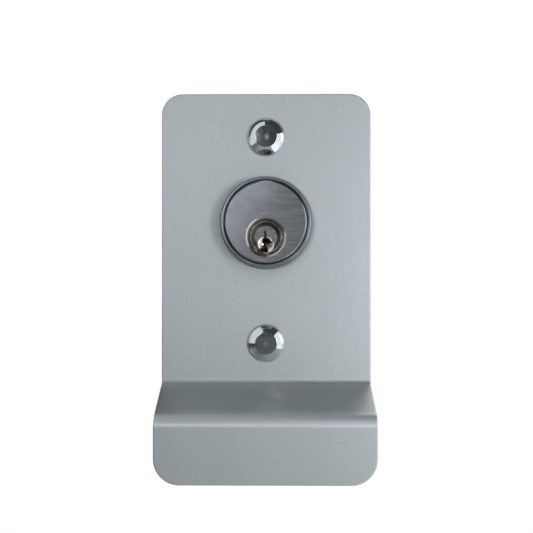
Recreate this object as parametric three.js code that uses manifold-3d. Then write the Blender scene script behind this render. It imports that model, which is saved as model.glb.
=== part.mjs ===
// Outside door pull with a rim lock cylinder. A bent pull plate is held by two domed through bolts,
// and a pin tumbler cylinder is clamped through the door by a plate on the inner side.
// Millimetres, +Z up, the front faces -Y. The origin is on the back face of the plate, at its mid height.

import * as THREE from 'three';
import { mergeVertices } from 'three/addons/utils/BufferGeometryUtils.js';
import Module from 'manifold-3d';

// ---- driving dimensions ----

const DOOR = 44.45; // thickness of the door between pull plate and clamp plate
const SEAT = 0.1; // gap kept between faces that bear on each other
const ROUND = 48; // segments of a large round face
const MID_ROUND = 28; // segments of a bolt head, a washer or a nut
const SMALL_ROUND = 16; // segments of a pin, a screw or a small hole

const PLATE = { width: 88.9, top: 80, bottom: -80, thick: 3.2, topCorner: 9.1, lipCorner: 10.4 };
const PULL = { reach: 31.3, kneeZ: -42.6, noseZ: -53.3, bend: 2.0 };

const BOLT = { highZ: 61.6, lowZ: -26.0, neck: 8, neckEnd: 3, shankR: 3.9, end: 56.5 };
const BOLT_HEAD = { radius: 8.1, height: 3.6, discR: 4.6, crown: 0.25, bulge: 0.25, rim: 0.9, edge: 0.3 };
const WASHER = { outerR: 9.5, innerR: 4.2, thick: 1.6 };
const NUT = { acrossFlats: 12.7, holeR: 4.05, height: 6.7 };

const CYL_Z = 25.2; // axis of the lock cylinder
const PLUG_Z = CYL_Z - 6.2; // axis of the plug, below the cylinder's own axis
const HEAD = { front: -12.2, back: -6.5, radius: 17.2, chamfer: 0.5 };
const BODY = { radius: 14.4, back: 22, edge: 0.8 };
const PLATE_HOLE_R = 15.2;
const COLLAR = { front: -11.5, seat: -6.3, baseR: 19.6, frontR: 18.95, innerR: 18.15, seatR: 14.8, edge: 0.35 };

const PLUG = { radius: 6.35, face: -11, flangeR: 6.9, flangeBack: -9.6, dishR: 5.7, dishDepth: 0.5, back: 22.15 };
const BORE = { radius: 6.45, recessR: 7.0, mouthR: 8.5, recessBack: -9.45 };

const PIN = { first: -4.2, pitch: 3.97, radius: 1.45, holeR: 1.55, top: 6.2, tipFloor: -2.6, tipR: 0.45, edge: 0.25 };
const KEY_PIN_LENGTHS = [8.0, 7.4, 6.8, 7.7, 6.4];
const CHAMBER_FLOOR = -2.8; // depth of the pin holes in the plug, from its axis
const DRIVER = { bottom: 6.45, top: 10.75 };
const SPRING = { bottom: 10.9, top: 18.25, radius: 1.1, wireR: 0.17, turns: 4.5, stepsPerTurn: 8 };
const CAP = { bottom: 18.45, top: 20.3, radius: 1.5 };

const BLADE = { width: 6.4, thick: 1.6, root: 19.2, end: 70, notchFrom: 36, notchPitch: 6.35, notchDepth: 0.7 };
const BLADE_SLOT = { width: 6.7, thick: 1.9, bottom: 19 };
const RETAINER = { radius: 7.2, front: 22.3, back: 23.6 };
const RETAINER_SCREW = { x: 4.4, shankR: 0.8, holeR: 0.95, headR: 1.5, headH: 1, tip: 18 };

const CLAMP = { width: 64, height: 34, thick: 2.5, corner: 6, holeR: 7 };
const SCREW = { x: 10, z: CYL_Z + 2, shankR: 2.3, coreR: 1.7, headR: 4.3, headH: 2.6, tip: 10 };
const SCREW_HOLE = { radius: 2.5, bottom: 8.5, slotLong: 8 };
const SCREW_BREAKS = { from: 26, to: 40, pitch: 4.7, halfWidth: 0.6 };

// ---- solids ----

const wasm = await Module();
wasm.setup();

function toSolid(geometry) {
  const bare = geometry.clone();
  bare.deleteAttribute('normal');
  bare.deleteAttribute('uv');
  const merged = mergeVertices(bare, 1e-4);
  return new wasm.Manifold(
    new wasm.Mesh({
      numProp: 3,
      vertProperties: new Float32Array(merged.attributes.position.array),
      triVerts: new Uint32Array(merged.index.array),
    }),
  );
}

function toGeometry(solid) {
  const mesh = solid.getMesh();
  const geometry = new THREE.BufferGeometry();
  geometry.setAttribute('position', new THREE.BufferAttribute(mesh.vertProperties, 3));
  geometry.setIndex(new THREE.BufferAttribute(mesh.triVerts, 1));
  geometry.computeVertexNormals();
  return geometry;
}

function cut(geometry, ...tools) {
  let solid = toSolid(geometry);
  for (const tool of tools) solid = solid.subtract(toSolid(tool));
  return toGeometry(solid);
}

function join(geometry, ...others) {
  let solid = toSolid(geometry);
  for (const other of others) solid = solid.add(toSolid(other));
  return toGeometry(solid);
}

function overlap(geometry, other) {
  return toGeometry(toSolid(geometry).intersect(toSolid(other)));
}

// ---- shapes ----

// A profile of [radius, y] points turned about the Y direction, on an axis at height z.
function turned(profile, z = 0, segments = ROUND) {
  const points = profile.map(([radius, y]) => new THREE.Vector2(radius, y));
  return new THREE.LatheGeometry(points, segments).translate(0, 0, z);
}

// A solid rod along Y from y0 to y1.
function rodY(radius, y0, y1, x, z, segments = SMALL_ROUND) {
  const length = y1 - y0;
  return new THREE.CylinderGeometry(radius, radius, length, segments).translate(x, y0 + length / 2, z);
}

// An outline in X and Z, extruded along Y from y0 to y1.
function prismY(shape, y0, y1, curveSegments = 8) {
  const options = { depth: y1 - y0, bevelEnabled: false, curveSegments };
  return new THREE.ExtrudeGeometry(shape, options).rotateX(Math.PI / 2).translate(0, y1, 0);
}

// An outline in Y and Z, extruded along X, centred on x = 0.
function prismX(shape, width, curveSegments = 8) {
  const options = { depth: width, bevelEnabled: false, curveSegments };
  const turn = new THREE.Matrix4().makeBasis(
    new THREE.Vector3(0, 1, 0),
    new THREE.Vector3(0, 0, 1),
    new THREE.Vector3(1, 0, 0),
  );
  return new THREE.ExtrudeGeometry(shape, options).applyMatrix4(turn).translate(-width / 2, 0, 0);
}

// A profile of [radius, height] points turned about the Z direction, at depth y.
function upright(profile, y, z, segments = SMALL_ROUND) {
  const points = profile.map(([radius, height]) => new THREE.Vector2(radius, height));
  return new THREE.LatheGeometry(points, segments).rotateX(Math.PI / 2).translate(0, y, z);
}

function boxBetween(low, high) {
  const size = high.map((value, i) => value - low[i]);
  const centre = high.map((value, i) => (value + low[i]) / 2);
  return new THREE.BoxGeometry(...size).translate(...centre);
}

function roundedOutline(left, right, low, high, lowCorner, highCorner) {
  const shape = new THREE.Shape();
  shape.moveTo(left + lowCorner, low);
  shape.lineTo(right - lowCorner, low);
  shape.absarc(right - lowCorner, low + lowCorner, lowCorner, -Math.PI / 2, 0, false);
  shape.lineTo(right, high - highCorner);
  shape.absarc(right - highCorner, high - highCorner, highCorner, 0, Math.PI / 2, false);
  shape.lineTo(left + highCorner, high);
  shape.absarc(left + highCorner, high - highCorner, highCorner, Math.PI / 2, Math.PI, false);
  shape.lineTo(left, low + lowCorner);
  shape.absarc(left + lowCorner, low + lowCorner, lowCorner, Math.PI, 1.5 * Math.PI, false);
  return shape;
}

// ---- pull plate ----

// Side view of the sheet, in Y and Z: straight down the door, out along the riser, and down the lip.
function sheetProfile() {
  const front = -PLATE.thick;
  const lipFront = front - PULL.reach;
  const drop = PULL.kneeZ - PULL.noseZ;
  const turn = Math.atan2(PULL.reach, drop);
  const outer = PULL.bend + PLATE.thick;
  const tangent = Math.tan(turn / 2);
  const knee = { y: front - PULL.bend, z: PULL.kneeZ + PULL.bend * tangent };
  const nose = { y: lipFront + outer, z: PULL.noseZ - outer * tangent };
  const shape = new THREE.Shape();
  shape.moveTo(front, PLATE.top);
  shape.absarc(knee.y, knee.z, PULL.bend, 0, -turn, true);
  shape.absarc(nose.y, nose.z, outer, Math.PI - turn, Math.PI, false);
  shape.lineTo(lipFront, PLATE.bottom);
  shape.lineTo(lipFront + PLATE.thick, PLATE.bottom);
  shape.absarc(nose.y, nose.z, PULL.bend, Math.PI, Math.PI - turn, true);
  shape.absarc(knee.y, knee.z, outer, -turn, 0, false);
  shape.lineTo(0, PLATE.top);
  return shape;
}

function pullPlate() {
  const half = PLATE.width / 2;
  const outline = roundedOutline(-half, half, PLATE.bottom, PLATE.top, PLATE.lipCorner, PLATE.topCorner);
  const sheet = overlap(prismX(sheetProfile(), PLATE.width + 2, 5), prismY(outline, -60, 10));
  const squareHole = BOLT.neck / 2 + 0.15;
  const boltHole = (z) => boxBetween([-squareHole, -10, z - squareHole], [squareHole, 10, z + squareHole]);
  return cut(
    sheet,
    rodY(PLATE_HOLE_R, -10, 10, 0, CYL_Z, ROUND),
    boltHole(BOLT.highZ),
    boltHole(BOLT.lowZ),
  );
}

// ---- through bolts ----

// The head is a gently crowned disc inside a bevel that bulges a little, on a short upright rim.
function throughBolt(z) {
  const { radius, height, discR, crown, bulge, rim, edge } = BOLT_HEAD;
  const under = -PLATE.thick - SEAT;
  const top = under - height;
  const bevelR = (discR + radius - edge) / 2;
  const bevelY = (top + crown + under - rim) / 2;
  const profile = [
    [0, top],
    [discR / 2, top + crown / 4],
    [discR, top + crown],
    [bevelR, bevelY - bulge],
    [radius - edge, under - rim],
    [radius, under - rim + edge],
    [radius, under],
    [BOLT.shankR, under],
    [BOLT.shankR, BOLT.end - 1],
    [BOLT.shankR - 0.8, BOLT.end],
    [0, BOLT.end],
  ];
  const side = BOLT.neck / 2;
  const neck = boxBetween([-side, under - 0.5, z - side], [side, BOLT.neckEnd, z + side]);
  return join(turned(profile, z, MID_ROUND), neck);
}

function washer(z) {
  const y0 = DOOR + SEAT;
  const y1 = y0 + WASHER.thick;
  const ring = [[WASHER.innerR, y0], [WASHER.outerR, y0], [WASHER.outerR, y1], [WASHER.innerR, y1], [WASHER.innerR, y0]];
  return turned(ring, z, MID_ROUND);
}

function nut(z) {
  const y0 = DOOR + WASHER.thick + 2 * SEAT;
  const y1 = y0 + NUT.height;
  const corner = NUT.acrossFlats / Math.sqrt(3);
  const hexagon = new THREE.CylinderGeometry(corner, corner, NUT.height, 6).translate(0, y0 + NUT.height / 2, z);
  const chamfer = 0.7;
  const turnedBlank = turned(
    [[0, y0], [corner, y0], [corner, y1 - chamfer], [corner - 2 * chamfer, y1], [0, y1]],
    z,
    MID_ROUND,
  );
  return cut(overlap(hexagon, turnedBlank), rodY(NUT.holeR, y0 - 1, y1 + 1, 0, z));
}

// ---- lock cylinder ----

function collar() {
  const back = -PLATE.thick - SEAT;
  const { front, seat, baseR, frontR, innerR, seatR, edge } = COLLAR;
  const ring = [
    [seatR, back],
    [seatR, seat],
    [innerR, seat],
    [innerR, front + edge / 2],
    [innerR + edge / 2, front],
    [frontR - edge, front],
    [frontR, front + edge],
    [baseR, back - 0.5],
    [baseR, back],
    [seatR, back],
  ];
  return turned(ring, CYL_Z);
}

function pinDepths() {
  return KEY_PIN_LENGTHS.map((_, i) => PIN.first + i * PIN.pitch);
}

function cylinderShell() {
  const { front, back, radius, chamfer } = HEAD;
  const blank = turned(
    [
      [0, front],
      [radius - chamfer, front],
      [radius, front + chamfer],
      [radius, back],
      [BODY.radius, back],
      [BODY.radius, BODY.back - BODY.edge],
      [BODY.radius - BODY.edge, BODY.back],
      [0, BODY.back],
    ],
    CYL_Z,
  );
  const bore = turned(
    [
      [0, front - 1],
      [BORE.mouthR + 0.9, front - 1],
      [BORE.mouthR, front],
      [BORE.recessR, PLUG.face],
      [BORE.recessR, BORE.recessBack],
      [BORE.radius, BORE.recessBack],
      [BORE.radius, BODY.back + 1],
      [0, BODY.back + 1],
    ],
    PLUG_Z,
  );
  const chambers = pinDepths().map((y) =>
    upright([[0, 0], [PIN.holeR, 0], [PIN.holeR, 30], [0, 30]], y, PLUG_Z),
  );
  const screwHoles = [-SCREW.x, SCREW.x].map((x) =>
    rodY(SCREW_HOLE.radius, SCREW_HOLE.bottom, BODY.back + 1, x, SCREW.z),
  );
  return cut(blank, bore, ...chambers, ...screwHoles);
}

// Outline of the keyway, as [x, z] from the plug's axis. It is open at the bottom of the plug.
const KEYWAY = [
  [-0.6, 2.6],
  [0.45, 2.6],
  [0.45, -0.7],
  [1.7, -1.1],
  [1.7, -2.3],
  [0.25, -2.7],
  [0.25, -3.5],
  [1.15, -4.1],
  [1.15, -7.2],
  [-1.5, -7.2],
  [-1.5, -5.3],
  [-0.55, -4.5],
  [-0.95, -3.1],
  [-1.55, -2.5],
  [-1.55, -1.5],
  [-0.6, -0.9],
];

function plug() {
  const { radius, face, flangeR, flangeBack, dishR, dishDepth, back } = PLUG;
  const rim = 0.35;
  const blank = turned(
    [
      [0, face + dishDepth],
      [dishR - rim, face + dishDepth],
      [dishR + rim / 2, face],
      [flangeR - rim, face],
      [flangeR, face + rim],
      [flangeR, flangeBack],
      [radius, flangeBack],
      [radius, back],
      [0, back],
    ],
    PLUG_Z,
  );
  const keyway = prismY(
    new THREE.Shape(KEYWAY.map(([x, z]) => new THREE.Vector2(x, z))),
    face - 1,
    back + 1,
  ).translate(0, 0, PLUG_Z);
  const chambers = pinDepths().map((y) =>
    upright([[0, CHAMBER_FLOOR], [PIN.holeR, CHAMBER_FLOOR], [PIN.holeR, 10], [0, 10]], y, PLUG_Z),
  );
  const halfSlot = BLADE_SLOT.width / 2;
  const slot = boxBetween(
    [-BLADE_SLOT.thick / 2, BLADE_SLOT.bottom, PLUG_Z - halfSlot],
    [BLADE_SLOT.thick / 2, back + 1, PLUG_Z + halfSlot],
  );
  const screwHoles = [-RETAINER_SCREW.x, RETAINER_SCREW.x].map((x) =>
    rodY(RETAINER_SCREW.holeR, RETAINER_SCREW.tip - 0.5, back + 1, x, PLUG_Z, 12),
  );
  return cut(blank, keyway, ...chambers, slot, ...screwHoles);
}

function keyPin(y, length) {
  const tip = PIN.top - length;
  const taper = 1.1;
  const profile = [
    [0, tip],
    [PIN.tipR, tip],
    [PIN.radius, tip + taper],
    [PIN.radius, PIN.top - PIN.edge],
    [PIN.radius - PIN.edge, PIN.top],
    [0, PIN.top],
  ];
  return upright(profile, y, PLUG_Z);
}

function driverPin(y) {
  const profile = [
    [0, DRIVER.bottom],
    [PIN.radius - PIN.edge, DRIVER.bottom],
    [PIN.radius, DRIVER.bottom + PIN.edge],
    [PIN.radius, DRIVER.top],
    [0, DRIVER.top],
  ];
  return upright(profile, y, PLUG_Z);
}

class Coil extends THREE.Curve {
  getPoint(t, target = new THREE.Vector3()) {
    const angle = 2 * Math.PI * SPRING.turns * t;
    const low = SPRING.bottom + SPRING.wireR;
    const rise = SPRING.top - SPRING.bottom - 2 * SPRING.wireR;
    return target.set(SPRING.radius * Math.cos(angle), SPRING.radius * Math.sin(angle), low + rise * t);
  }
}

function pinSpring(y) {
  const wire = new THREE.Shape();
  wire.absarc(0, 0, SPRING.wireR, 0, 2 * Math.PI, false);
  const options = {
    steps: SPRING.turns * SPRING.stepsPerTurn,
    extrudePath: new Coil(),
    bevelEnabled: false,
    curveSegments: 3,
  };
  return new THREE.ExtrudeGeometry(wire, options).translate(0, y, PLUG_Z);
}

function chamberCap(y) {
  return upright([[0, CAP.bottom], [CAP.radius, CAP.bottom], [CAP.radius, CAP.top], [0, CAP.top]], y, PLUG_Z);
}

// ---- tailpiece and its retainer ----

// A flat blade with snap-off notches on both edges, so that it can be shortened to suit the door.
function tailpiece() {
  const half = BLADE.width / 2;
  const notches = [];
  for (let y = BLADE.notchFrom; y < BLADE.end - 3; y += BLADE.notchPitch) notches.push(y);
  const { notchDepth } = BLADE;
  const edge = (side) =>
    notches.flatMap((y) => [
      [y - notchDepth, side * half],
      [y, side * (half - notchDepth)],
      [y + notchDepth, side * half],
    ]);
  const tip = 1.2;
  const outline = [
    [BLADE.root, -half],
    ...edge(-1),
    [BLADE.end - tip, -half],
    [BLADE.end, -half + tip],
    [BLADE.end, half - tip],
    [BLADE.end - tip, half],
    ...edge(1).reverse(),
    [BLADE.root, half],
  ];
  const shape = new THREE.Shape(outline.map(([y, z]) => new THREE.Vector2(y, z)));
  return prismX(shape, BLADE.thick).translate(0, 0, PLUG_Z);
}

function tailpieceRetainer() {
  const { radius, front, back } = RETAINER;
  const half = BLADE_SLOT.width / 2;
  const slot = boxBetween(
    [-BLADE_SLOT.thick / 2, front - 1, PLUG_Z - half],
    [BLADE_SLOT.thick / 2, back + 1, PLUG_Z + half],
  );
  const holes = [-RETAINER_SCREW.x, RETAINER_SCREW.x].map((x) =>
    rodY(RETAINER_SCREW.holeR, front - 1, back + 1, x, PLUG_Z, 12),
  );
  return cut(rodY(radius, front, back, 0, PLUG_Z, MID_ROUND), slot, ...holes);
}

function slotted(geometry, x, y, z, headR, width, depth) {
  return cut(geometry, boxBetween([x - headR - 1, y - depth, z - width / 2], [x + headR + 1, y + 1, z + width / 2]));
}

function retainerScrew(x) {
  const { shankR, headR, headH, tip } = RETAINER_SCREW;
  const under = RETAINER.back + SEAT;
  const top = under + headH;
  const profile = [[0, tip], [shankR, tip + 0.4], [shankR, under], [headR, under], [headR, top - 0.3], [headR - 0.3, top], [0, top]];
  const blank = turned(profile, PLUG_Z, 12).translate(x, 0, 0);
  return slotted(blank, x, top, PLUG_Z, headR, 0.45, 0.45);
}

// ---- clamp plate and its screws ----

function clampPlate() {
  const y0 = DOOR;
  const y1 = DOOR + CLAMP.thick;
  const halfW = CLAMP.width / 2;
  const halfH = CLAMP.height / 2;
  const outline = roundedOutline(-halfW, halfW, CYL_Z - halfH, CYL_Z + halfH, CLAMP.corner, CLAMP.corner);
  const slotR = SCREW_HOLE.radius;
  const slotHalf = SCREW_HOLE.slotLong / 2;
  const slots = [-SCREW.x, SCREW.x].map((x) =>
    prismY(
      roundedOutline(x - slotHalf, x + slotHalf, SCREW.z - slotR, SCREW.z + slotR, slotR - 0.01, slotR - 0.01),
      y0 - 1,
      y1 + 1,
      3,
    ),
  );
  return cut(prismY(outline, y0, y1), rodY(CLAMP.holeR, y0 - 1, y1 + 1, 0, PLUG_Z, MID_ROUND), ...slots);
}

// A machine screw with break-off grooves along its shank, so that it can be shortened to suit the door.
function cylinderScrew(x) {
  const { shankR, coreR, headR, headH, tip, z } = SCREW;
  const under = DOOR + CLAMP.thick + SEAT;
  const top = under + headH;
  const profile = [[0, tip], [shankR - 0.6, tip], [shankR, tip + 0.6]];
  for (let y = SCREW_BREAKS.from; y < SCREW_BREAKS.to; y += SCREW_BREAKS.pitch) {
    profile.push([shankR, y - SCREW_BREAKS.halfWidth], [coreR, y], [shankR, y + SCREW_BREAKS.halfWidth]);
  }
  profile.push([shankR, under], [headR, under], [headR, top - 1.2], [headR - 1, top - 0.3], [headR - 2.4, top], [0, top]);
  const blank = turned(profile, z, SMALL_ROUND).translate(x, 0, 0);
  return slotted(blank, x, top, z, headR, 1.1, 1.2);
}

// ---- assembly ----

const SATIN = new THREE.MeshStandardMaterial({ color: 0xb4bcc2, roughness: 0.4, metalness: 0.9 });
const CHROME = new THREE.MeshStandardMaterial({ color: 0xd8dce0, roughness: 0.08, metalness: 1 });
const DULL_CHROME = new THREE.MeshStandardMaterial({ color: 0x8d949a, roughness: 0.3, metalness: 1 });
const NICKEL_BRASS = new THREE.MeshStandardMaterial({ color: 0xa99f86, roughness: 0.3, metalness: 1 });
const BRASS = new THREE.MeshStandardMaterial({ color: 0xc2a15a, roughness: 0.35, metalness: 1 });
const ZINC = new THREE.MeshStandardMaterial({ color: 0xaeb2b0, roughness: 0.45, metalness: 0.9 });
const SPRING_WIRE = new THREE.MeshStandardMaterial({ color: 0xb09a72, roughness: 0.4, metalness: 1 });

const assembly = new THREE.Group();

function add(name, geometry, material) {
  const mesh = new THREE.Mesh(geometry, material);
  mesh.name = name;
  assembly.add(mesh);
}

add('pull_plate', pullPlate(), SATIN);

for (const [place, z] of [['upper', BOLT.highZ], ['lower', BOLT.lowZ]]) {
  add(`${place}_trim_bolt`, throughBolt(z), CHROME);
  add(`${place}_bolt_washer`, washer(z), ZINC);
  add(`${place}_bolt_nut`, nut(z), ZINC);
}

add('cylinder_collar', collar(), DULL_CHROME);
add('cylinder_shell', cylinderShell(), DULL_CHROME);
add('plug', plug(), NICKEL_BRASS);

pinDepths().forEach((y, i) => {
  const number = i + 1;
  add(`key_pin_${number}`, keyPin(y, KEY_PIN_LENGTHS[i]), BRASS);
  add(`driver_pin_${number}`, driverPin(y), BRASS);
  add(`pin_spring_${number}`, pinSpring(y), SPRING_WIRE);
  add(`chamber_cap_${number}`, chamberCap(y), BRASS);
});

add('tailpiece', tailpiece(), ZINC);
add('tailpiece_retainer', tailpieceRetainer(), BRASS);
add('clamp_plate', clampPlate(), ZINC);

for (const [side, sign] of [['left', -1], ['right', 1]]) {
  add(`${side}_retainer_screw`, retainerScrew(sign * RETAINER_SCREW.x), ZINC);
  add(`${side}_cylinder_screw`, cylinderScrew(sign * SCREW.x), ZINC);
}

export default assembly;
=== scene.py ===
"""Outside door pull with a rim lock cylinder: the looks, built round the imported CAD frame."""

import math

import bmesh
import bpy
import numpy as np
from mathutils import Matrix, Vector
from mathutils.geometry import delaunay_2d_cdt


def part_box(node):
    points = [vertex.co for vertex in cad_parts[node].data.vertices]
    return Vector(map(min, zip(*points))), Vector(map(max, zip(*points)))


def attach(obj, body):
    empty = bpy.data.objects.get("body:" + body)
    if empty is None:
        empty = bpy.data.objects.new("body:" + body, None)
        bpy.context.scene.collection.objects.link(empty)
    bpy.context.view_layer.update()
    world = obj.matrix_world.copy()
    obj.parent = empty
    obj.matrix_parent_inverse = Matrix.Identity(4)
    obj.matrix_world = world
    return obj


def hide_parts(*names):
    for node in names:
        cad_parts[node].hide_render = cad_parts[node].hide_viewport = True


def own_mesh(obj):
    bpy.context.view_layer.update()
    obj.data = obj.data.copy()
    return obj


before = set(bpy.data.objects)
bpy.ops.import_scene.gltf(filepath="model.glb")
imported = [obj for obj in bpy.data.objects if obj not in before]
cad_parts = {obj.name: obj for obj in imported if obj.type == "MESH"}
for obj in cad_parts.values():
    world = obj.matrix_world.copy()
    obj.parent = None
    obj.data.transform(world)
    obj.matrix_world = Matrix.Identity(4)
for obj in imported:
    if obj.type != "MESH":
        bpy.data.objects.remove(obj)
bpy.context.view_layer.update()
MM = 0.001

# ---- sizes, in millimetres, read from the frame where its boxes say them ----


def box_mm(node):
    """Lowest corner, highest corner and centre of a CAD node, in millimetres."""
    low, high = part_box(node)
    return low / MM, high / MM, (low + high) / (2 * MM)


PLATE_LOW, PLATE_HIGH, _ = box_mm("pull_plate")
SHEET = 3.2
KNEE_Z = -42.6
NOSE_Z = -53.3
BEND_R = 2.0
TOP_CORNER = 9.1
LIP_CORNER = 10.4
PLATE_FRONT = PLATE_HIGH.y - SHEET
PLATE_EDGE = 0.45
CYLINDER_HOLE_R = 15.2
NECK_HOLE = 4.15
BOLTS = ("upper_trim_bolt", "lower_trim_bolt")

SHELL_LOW, SHELL_HIGH, SHELL_MID = box_mm("cylinder_shell")
HEAD_R = (SHELL_HIGH.x - SHELL_LOW.x) / 2
HEAD_BACK = -6.5
BODY_R = 14.4
CYL_Z = SHELL_MID.z
PLUG_LOW, PLUG_HIGH, _ = box_mm("plug")
PLUG_Z = CYL_Z - 6.2
FLANGE_R = (PLUG_HIGH.x - PLUG_LOW.x) / 2
FLANGE_BACK = -9.6
PLUG_R = 6.35
BORE_R = 6.45
COUNTERBORE_R = 7.0
COUNTERBORE_END = -9.45
MOUTH_R = 8.5
MOUTH_LIP = 7.8
DISH_R = 4.75
DISH_DEPTH = 1.3
RIM_R = 6.35
SCOOP_X = 0.1
SCOOP_Z = -3.1
SCOOP_R = 3.55
SCOOP_DEPTH = 2.7
COLLAR_FRONT = box_mm("cylinder_collar")[0].y
COLLAR_R = box_mm("cylinder_collar")[1].x
PIN_Y = [box_mm(f"key_pin_{i}")[2].y for i in range(1, 6)]
PIN_HOLE_R = 1.55
BLADE_SLOT = (0.95, 3.35)
RETAINER_HOLE_R = 0.95
CYL_SCREW = box_mm("right_cylinder_screw")
RETAINER_SCREW = box_mm("right_retainer_screw")

# ---- materials ----


class Nodes:
    """A short way to build one material's node tree."""

    def __init__(self, name, metallic=1.0):
        self.material = bpy.data.materials.new(name)
        self.material.use_nodes = True
        self.tree = self.material.node_tree
        self.shader = self.tree.nodes["Principled BSDF"]
        self.shader.inputs["Metallic"].default_value = metallic

    def add(self, kind, **inputs):
        """A new node, with sockets or values fed to its named inputs."""
        node = self.tree.nodes.new(kind)
        for key, value in inputs.items():
            self.feed(node, key.replace("_", " "), value)
        return node

    def feed(self, node, key, value):
        socket = node.inputs[int(key)] if key.isdigit() else node.inputs[key]
        if isinstance(value, bpy.types.NodeSocket):
            self.tree.links.new(value, socket)
        else:
            socket.default_value = value

    def coords(self, stretch=(1, 1, 1)):
        """Object coordinates, in metres, multiplied along each axis."""
        place = self.add("ShaderNodeTexCoord").outputs["Object"]
        mapping = self.add("ShaderNodeMapping", Vector=place)
        mapping.inputs["Scale"].default_value = stretch
        return mapping.outputs[0]

    def noise(self, scale, detail=4, roughness=0.55, stretch=(1, 1, 1)):
        """Noise between 0 and 1, drawn out along an axis whose stretch is below 1."""
        node = self.add("ShaderNodeTexNoise", Vector=self.coords(stretch))
        node.inputs["Scale"].default_value = scale
        node.inputs["Detail"].default_value = detail
        node.inputs["Roughness"].default_value = roughness
        return node.outputs[0]

    def place(self):
        """The X, Y and Z of a point, in millimetres."""
        split = self.add("ShaderNodeSeparateXYZ", Vector=self.coords((1 / MM, 1 / MM, 1 / MM)))
        return [split.outputs[axis] for axis in "XYZ"]

    def reach(self, z, x=0.0):
        """Distance from the line along Y through x and z, in millimetres."""
        here = self.place()
        across = self.math("SUBTRACT", here[0], x)
        up = self.math("SUBTRACT", here[2], z)
        square = self.math("ADD", self.times(across, across), self.times(up, up))
        return self.math("SQRT", square)

    def map_range(self, value, low, high, to_low, to_high):
        node = self.add("ShaderNodeMapRange", Value=value)
        limits = {"From Min": low, "From Max": high, "To Min": to_low, "To Max": to_high}
        for key, number in limits.items():
            node.inputs[key].default_value = number
        return node.outputs[0]

    def mix(self, fac, a, b):
        """Colour a where fac is 0, and colour b where it is 1."""
        node = self.tree.nodes.new("ShaderNodeMix")
        node.data_type = "RGBA"
        for index, value in ((0, fac), (6, a), (7, b)):
            if isinstance(value, bpy.types.NodeSocket):
                self.tree.links.new(value, node.inputs[index])
            elif index == 0:
                node.inputs[index].default_value = value
            else:
                node.inputs[index].default_value = (*value, 1)
        return node.outputs[2]

    def math(self, operation, a, b=0.0):
        node = self.tree.nodes.new("ShaderNodeMath")
        node.operation = operation
        self.feed(node, "0", a)
        self.feed(node, "1", b)
        return node.outputs[0]

    def times(self, a, b):
        return self.math("MULTIPLY", a, b)

    def bump(self, height, strength, distance=0.03):
        """Relief of a strength, over a distance in millimetres."""
        node = self.add("ShaderNodeBump", Height=height)
        node.inputs["Strength"].default_value = strength
        node.inputs["Distance"].default_value = distance * MM
        self.feed(self.shader, "Normal", node.outputs[0])

    def finish(self, colour, roughness):
        """Joins up the shader and hands back the material."""
        self.feed(self.shader, "Base Color", colour)
        self.feed(self.shader, "Roughness", roughness)
        return self.material


def satin_plate():
    """Fine bead-blasted and anodised sheet: clouds, faint upright streaks and grain. Shading is painted in to
    suit the front view: a darker riser, a paler bend, and a dark line and soft shadow round the collar."""
    n = Nodes("satin_plate")
    cloud = n.noise(28, detail=3)
    streak = n.map_range(n.noise(60, detail=5, stretch=(1, 1, 0.12)), 0.35, 0.65, 0, 0.35)
    grain = n.noise(900, detail=2)
    colour = n.mix(cloud, (0.61, 0.634, 0.623), (0.69, 0.706, 0.694))
    colour = n.mix(streak, colour, (0.60, 0.62, 0.61))
    colour = n.mix(n.map_range(grain, 0.35, 0.65, 0, 0.5), colour, (0.58, 0.60, 0.595))

    _, y, z = n.place()
    riser_start = n.map_range(y, PLATE_FRONT - 2, PLATE_FRONT - 7, 0, 0.75)
    riser_end = n.map_range(y, PLATE_LOW.y + 4.5, PLATE_LOW.y + 7, 0, 1)
    riser_shade = n.times(riser_start, riser_end)
    colour = n.mix(riser_shade, colour, (0.52, 0.53, 0.505))
    bend_start = n.map_range(y, PLATE_LOW.y + 4.5, PLATE_LOW.y + 2.5, 0, 0.68)
    bend_end = n.map_range(z, NOSE_Z - 4.2, NOSE_Z - 2.2, 0, 1)
    bend_light = n.times(bend_start, bend_end)
    colour = n.mix(bend_light, colour, (0.86, 0.88, 0.87))

    front = n.map_range(y, PLATE_FRONT + 0.2, PLATE_FRONT + 0.5, 1, 0)
    collar_line = n.map_range(n.reach(CYL_Z), COLLAR_R - 0.1, COLLAR_R + 0.5, 0.8, 0)
    colour = n.mix(n.times(collar_line, front), colour, (0.10, 0.105, 0.11))
    collar_shade = n.map_range(n.reach(CYL_Z - 2, -1.2), COLLAR_R - 0.5, COLLAR_R + 4, 0.26, 0)
    colour = n.mix(n.times(collar_shade, front), colour, (0.36, 0.38, 0.385))
    n.bump(n.noise(5200, detail=2), 0.12, 0.04)
    return n.finish(colour, n.map_range(grain, 0.3, 0.7, 0.47, 0.53))


def bolt_chrome():
    """Bright plating with fine scratches and a faint waviness, worn dull in patches at each bolt's centre."""
    n = Nodes("bolt_chrome")
    scratch = n.noise(700, detail=6, stretch=(1, 1, 0.07))
    haze = n.noise(220, detail=4)
    colour = n.mix(haze, (0.74, 0.75, 0.745), (0.82, 0.83, 0.825))
    marks = n.math("ADD", haze, n.times(scratch, 0.5))
    roughness = n.map_range(marks, 0.5, 1.0, 0.06, 0.14)
    patches = n.map_range(haze, 0.3, 0.6, 0.3, 1)
    for bolt in BOLTS:
        worn = n.map_range(n.reach(box_mm(bolt)[2].z), 0.5, 1.9, 0.16, 0)
        roughness = n.math("ADD", roughness, n.times(worn, patches))
    n.bump(n.noise(420, detail=3), 0.03, 0.05)
    return n.finish(colour, roughness)


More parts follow.
